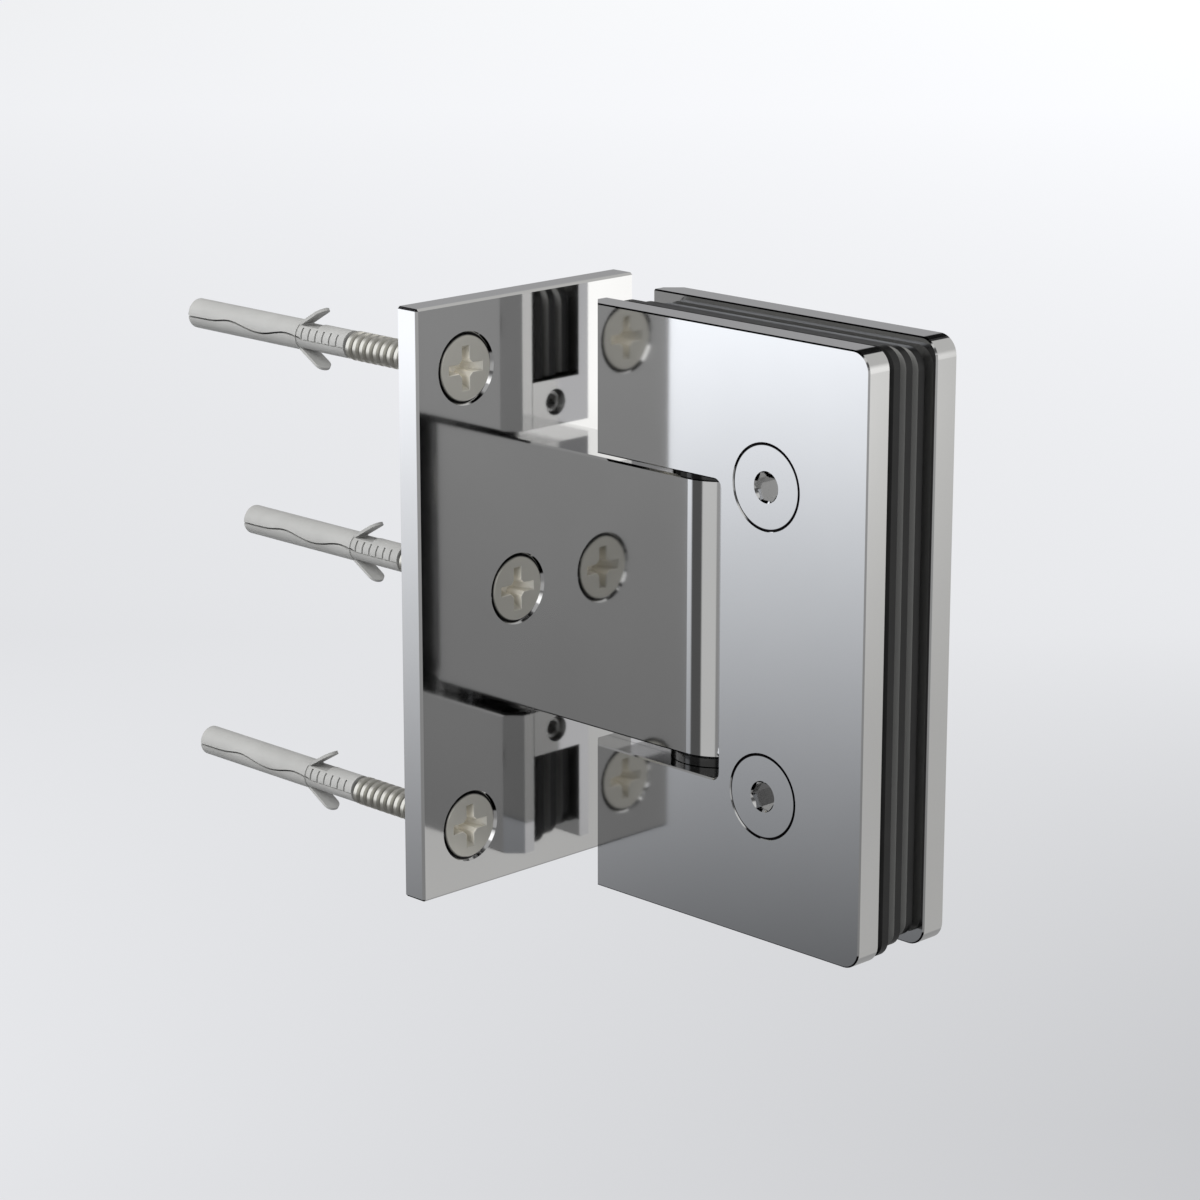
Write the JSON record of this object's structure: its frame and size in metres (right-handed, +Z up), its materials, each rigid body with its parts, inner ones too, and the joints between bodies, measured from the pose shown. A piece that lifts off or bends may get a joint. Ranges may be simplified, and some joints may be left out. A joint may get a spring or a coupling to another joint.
{
  "type": "glass-to-wall shower door hinge",
  "caption": "Chrome glass-to-wall hinge: a screwed wall plate with an arm and pivot pin, and a two-leaf clamp for the glass that swings both ways.",
  "frame": {"origin": "centre of the wall plate's back face", "axes": "+X away from the wall, +Y along the wall towards the clamp's far leaf, +Z up along the pivot pin"},
  "size_m": [0.126, 0.0448, 0.0911],
  "materials": {
    "polished_chrome": "mirror-polished chrome plate",
    "screw_steel": "satin nickel-plated steel",
    "dark_steel": "dark hardened steel",
    "pin_steel": "ground stainless steel",
    "spring_steel": "spring steel",
    "bush_nylon": "natural nylon",
    "washer_plastic": "glossy black plastic",
    "gasket_rubber": "satin black rubber",
    "plug_plastic": "light grey moulded nylon"
  },
  "bodies": {
    "wall_side": {"wall_plate": "polished_chrome", "hinge_arm": "polished_chrome", "arm_screw_upper": "screw_steel", "pin_bush_upper": "bush_nylon", "thrust_washer_upper": "washer_plastic", "detent_spring_upper": "spring_steel", "arm_screw_lower": "screw_steel", "pin_bush_lower": "bush_nylon", "thrust_washer_lower": "washer_plastic", "detent_spring_lower": "spring_steel", "wall_screw_upper": "screw_steel", "wall_plug_upper": "plug_plastic", "wall_screw_middle": "screw_steel", "wall_plug_middle": "plug_plastic", "wall_screw_lower": "screw_steel", "wall_plug_lower": "plug_plastic"},
    "clamp": {"clamp_body": "polished_chrome", "clamp_cover": "polished_chrome", "pivot_pin": "pin_steel", "gasket_near": "gasket_rubber", "gasket_middle": "gasket_rubber", "gasket_far": "gasket_rubber", "clamp_screw_upper": "polished_chrome", "pin_set_screw_upper": "dark_steel", "clamp_screw_lower": "polished_chrome", "pin_set_screw_lower": "dark_steel"},
    "plunger_upper": {"detent_plunger_upper": "pin_steel"},
    "plunger_lower": {"detent_plunger_lower": "pin_steel"}
  },
  "joints": [
    {"name": "clamp_swing", "type": "hinge", "parent": "wall_side", "child": "clamp", "pos_m": [0.0306, 0.0134, -0.00105], "axis": [0, 0, 1], "range_deg": [-90, 90]},
    {"name": "detent_slide_upper", "type": "slide", "parent": "wall_side", "child": "plunger_upper", "axis": [1, 0, 0], "range_m": [0, 0.0005], "deforming": ["detent_spring_upper"]},
    {"name": "detent_slide_lower", "type": "slide", "parent": "wall_side", "child": "plunger_lower", "axis": [1, 0, 0], "range_m": [0, 0.0005], "deforming": ["detent_spring_lower"]}
  ]
}
